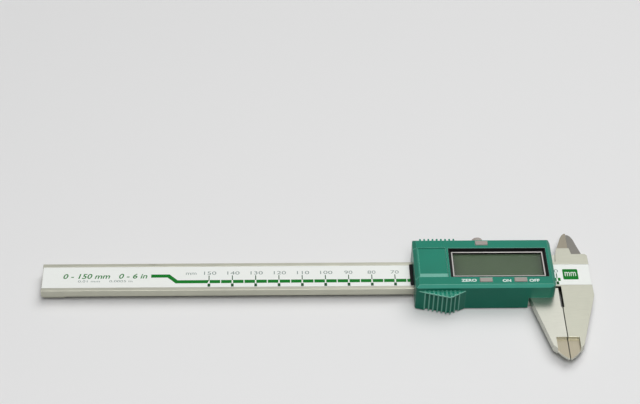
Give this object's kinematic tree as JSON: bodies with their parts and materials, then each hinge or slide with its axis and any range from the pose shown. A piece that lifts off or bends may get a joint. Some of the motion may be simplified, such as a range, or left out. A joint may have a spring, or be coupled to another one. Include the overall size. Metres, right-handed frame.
{
  "type": "left-handed digital caliper",
  "caption": "Left-handed digital caliper: steel beam with fixed jaws, sliding jaw unit with display housing, keys, lock screw, battery lid and depth rod.",
  "frame": {"origin": "on the plane of the fixed outside measuring face, on the beam's centre line, at the height of the slider's back", "axes": "+X along the beam towards the jaws, +Y across the beam towards the inside jaws, +Z out of the display"},
  "size_m": [0.2365, 0.073, 0.0143],
  "materials": {
    "beam_steel": "ground stainless steel, satin",
    "slider_steel": "ground stainless steel, satin",
    "screw_steel": "turned steel",
    "label": "printed film, white, satin",
    "board": "glass fibre circuit board",
    "brass_strip": "plain",
    "knob": "knurled, satin",
    "housing_plastic": "moulded, satin green",
    "bezel_plastic": "moulded, black",
    "bright_frame": "bright pressed metal",
    "window": "clear acrylic",
    "lcd": "liquid crystal panel, grey green",
    "contact_rubber": "layered conductive rubber",
    "key_plastic": "moulded, warm grey",
    "cell_steel": "nickel plated",
    "contact_metal": "spring strip",
    "felt": "pressed felt, black"
  },
  "bodies": {
    "beam": {"beam": "beam_steel", "scale_board": "board", "scale_label": "label", "stop_plate": "beam_steel", "stop_plate_screws": "screw_steel"},
    "slider": {"slider_frame": "slider_steel", "gib_strip": "brass_strip", "gib_screws": "screw_steel", "depth_rod": "slider_steel", "depth_rod_screw": "screw_steel", "housing": "housing_plastic", "housing_screws": "screw_steel", "scale_wiper": "felt", "display_bezel": "bezel_plastic", "display_frame": "bright_frame", "display_window": "window", "lcd_panel": "lcd", "contact_strip": "contact_rubber", "main_board": "board", "processor": "bezel_plastic", "key_switches": "screw_steel", "battery_cell": "cell_steel", "battery_contact_minus": "contact_metal", "battery_contact_plus": "contact_metal"},
    "lock_screw": {"lock_screw": "knob"},
    "battery_lid": {"battery_lid": "housing_plastic"},
    "key_zero": {"key_zero": "key_plastic"},
    "key_on_off": {"key_on_off": "key_plastic"},
    "key_mode": {"key_mode": "key_plastic"}
  },
  "joints": [
    {"name": "slider_slide", "type": "slide", "parent": "beam", "child": "slider", "axis": [-1, 0, 0], "range_m": [-0.0003, 0.15]},
    {"name": "lock_screw_turn", "type": "hinge", "parent": "slider", "child": "lock_screw", "pos_m": [-0.033, 0.018, 0.00475], "axis": [0, 1, 0], "range_deg": [0, 360]},
    {"name": "battery_lid_slide", "type": "slide", "parent": "slider", "child": "battery_lid", "axis": [-1, 0, 0], "range_m": [0, 0.016]},
    {"name": "key_zero_press", "type": "slide", "parent": "slider", "child": "key_zero", "axis": [0, 0, -1], "range_m": [0, 0.0005], "stiffness_N_per_m": 1000},
    {"name": "key_on_off_press", "type": "slide", "parent": "slider", "child": "key_on_off", "axis": [0, 0, -1], "range_m": [0, 0.0005], "stiffness_N_per_m": 1000},
    {"name": "key_mode_press", "type": "slide", "parent": "slider", "child": "key_mode", "axis": [0, 0, -1], "range_m": [0, 0.0005], "stiffness_N_per_m": 1000}
  ]
}
